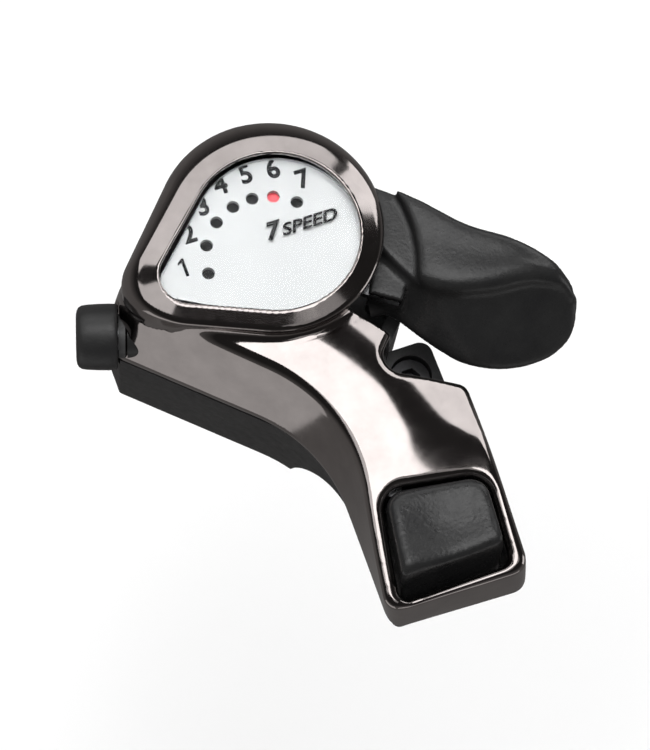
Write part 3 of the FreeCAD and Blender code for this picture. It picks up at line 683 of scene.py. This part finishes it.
HORN = (-12.9, -11.3, -3.2, -1.8)       # the finger that draws the link: x from and to, y from and to
BUTTON_PIN_Y, BUTTON_PIN_Z = -6.5, 19.0


def button_field(x, y, z):
    """Dished cap, hollow below, with its finger and the two lugs that hang on the pin."""
    side = BUTTON_HOLE(x, y) + 0.45 + np.clip(z - 27.0, 0, 8) * 0.06 + 0.3 * np.clip(27.5 - z, 0, 1)
    rear = -(y + 18.1) * 0.96 + (z - 26.0) * 0.28
    front = (z - 30.3) * 0.97 + (y + 7.0) * 0.24
    crown = np.sqrt((x + 6.8) ** 2 + (y + 10.2) ** 2 + (z - 48.3) ** 2)
    body = smooth_max(side, rear, 0.9)
    body = smooth_max(body, smooth_max(front, z - 31.4, 1.5), 1.6)
    body = smooth_max(body, 18.4 - crown, 1.6)
    body = np.maximum(body, 21.3 - z)
    hollow = box_field(x, y, z, -12.6, -2.8, -17.0, -9.4, 20.0, 27.0)
    body = np.maximum(body, -hollow)
    x0, x1, y0, y1 = HORN
    body = np.minimum(body, box_field(x, y, z, x0, x1, y0, y1, 21.5, 26.6))
    body = np.minimum(body, box_field(x, y, z, x0, x1, -6.0, y1, 21.5, 23.4))
    pin = 1.1 - np.hypot(y - BUTTON_PIN_Y, z - BUTTON_PIN_Z)
    for x0 in (-13.6, -2.4):
        lug = box_field(x, y, z, x0, x0 + 2.0, -8.8, -4.6, 17.0, 21.6)
        body = np.minimum(body, np.maximum(lug, pin))
    return body


button = surface("release_button_cap", button_field, (-18.5, -21.0, 16.6), (2.5, -2.0, 32.4), 0.3)
piece(button, "button_moulding", "button", "release_button")


# ---- cable adjuster ------------------------------------------------------------------------------
def turned(name, profile, segments=96):
    """Closed profile of (distance along the barrel, radius), turned round the cable's line."""
    pts, faces = [], []
    n = len(profile)
    for i in range(segments):
        a = 2 * math.pi * i / segments
        side = ACROSS * math.cos(a) + np.array((0, 0, 1.0)) * math.sin(a)
        pts += [EXIT + ALONG * d + side * r for d, r in profile]
    for i in range(segments):
        nxt = (i + 1) % segments
        for j in range(n):
            k = (j + 1) % n
            faces.append((i * n + j, i * n + k, nxt * n + k, nxt * n + j))
    obj = make_mesh(name, pts, faces)
    recalc(obj)
    return obj


knob_profile = [
    (KNOB_START, 2.0), (KNOB_START, 4.5), (22.75, 4.85), (23.1, 4.98), (24.0, 5.0), (25.5, 4.97), (27.2, 4.88),
    (28.0, 4.75), (28.45, 4.45), (28.7, 4.0), (28.8, 3.5), (28.8, 2.9), (28.7, 2.65), (28.4, 2.6),
    (23.85, 2.6), (23.8, 2.0)]
knob = turned("adjuster_barrel_knob", knob_profile)
piece(knob, "black_moulding", "adjuster", "adjuster_barrel")


# ---- printing on the display ---------------------------------------------------------------------
DIAL_TOP, LENS_BACK = 31.9, 32.5       # heights at which the numerals and the words are printed
CAP_HEIGHT = 0.69                      # height of a capital for a font size of 1


def text(name, word, at, height, z, shear=0.0, weight=0.012, stretch=1.0):
    """Printed word of the given height, centred at a point. The weight thickens its strokes."""
    data = bpy.data.curves.new(name, "FONT")
    data.body = word
    data.align_x = "CENTER"
    data.align_y = "CENTER"
    data.size = height / CAP_HEIGHT
    data.shear = shear
    data.bevel_depth = weight
    data.bevel_resolution = 1
    data.extrude = 0.01
    data.resolution_u = 6
    obj = bpy.data.objects.new(name, data)
    bpy.context.collection.objects.link(obj)
    deps = bpy.context.evaluated_depsgraph_get()
    mesh = bpy.data.meshes.new_from_object(obj.evaluated_get(deps))
    bpy.data.objects.remove(obj)
    mesh.transform(Matrix.Diagonal((stretch, 1, 1, 1)))
    mesh.transform(Matrix.Translation((at[0], at[1], z)))
    mesh.transform(Matrix.Scale(MM, 4))
    obj = bpy.data.objects.new(name, mesh)
    bpy.context.collection.objects.link(obj)
    return piece(obj, "dial_white", "root", material=INK)


def numeral_one(at, height, z):
    """The figure 1: an upright stroke with a short flag."""
    w, h = 0.17 * height, 0.5 * height
    outline = [(0.06 * height - w, -h), (0.06 * height, -h), (0.06 * height, h), (-0.08 * height, h),
               (-0.3 * height, 0.62 * h), (-0.3 * height, 0.36 * h), (0.06 * height - w, 0.56 * h)]
    verts = [(at[0] + x, at[1] + y, z + lift) for lift in (0.0, 0.02) for x, y in outline]
    n = len(outline)
    faces = [tuple(range(n))[::-1], tuple(range(n, 2 * n))]
    faces += [(i, (i + 1) % n, n + (i + 1) % n, n + i) for i in range(n)]
    return piece(make_mesh("numeral_1", verts, faces), "dial_white", "root", material=INK)


NUMERALS = (
    (-30.0, 36.9), (-27.75, 41.6), (-24.35, 45.15), (-20.7, 47.5), (-16.6, 48.0), (-12.5, 47.5), (-8.8, 44.6))
numeral_one(NUMERALS[0], 2.9, 32.03)
for i, at in enumerate(NUMERALS[1:], 2):
    text("numeral_%d" % i, str(i), at, 2.85, DIAL_TOP, weight=0.17, stretch=0.95)
text("print_7", "7", (-16.3, 38.0), 2.6, LENS_BACK, shear=0.3, weight=0.15)
text("print_speed", "SPEED", (-10.5, 37.65), 1.8, LENS_BACK, shear=0.3, weight=0.07, stretch=1.22)
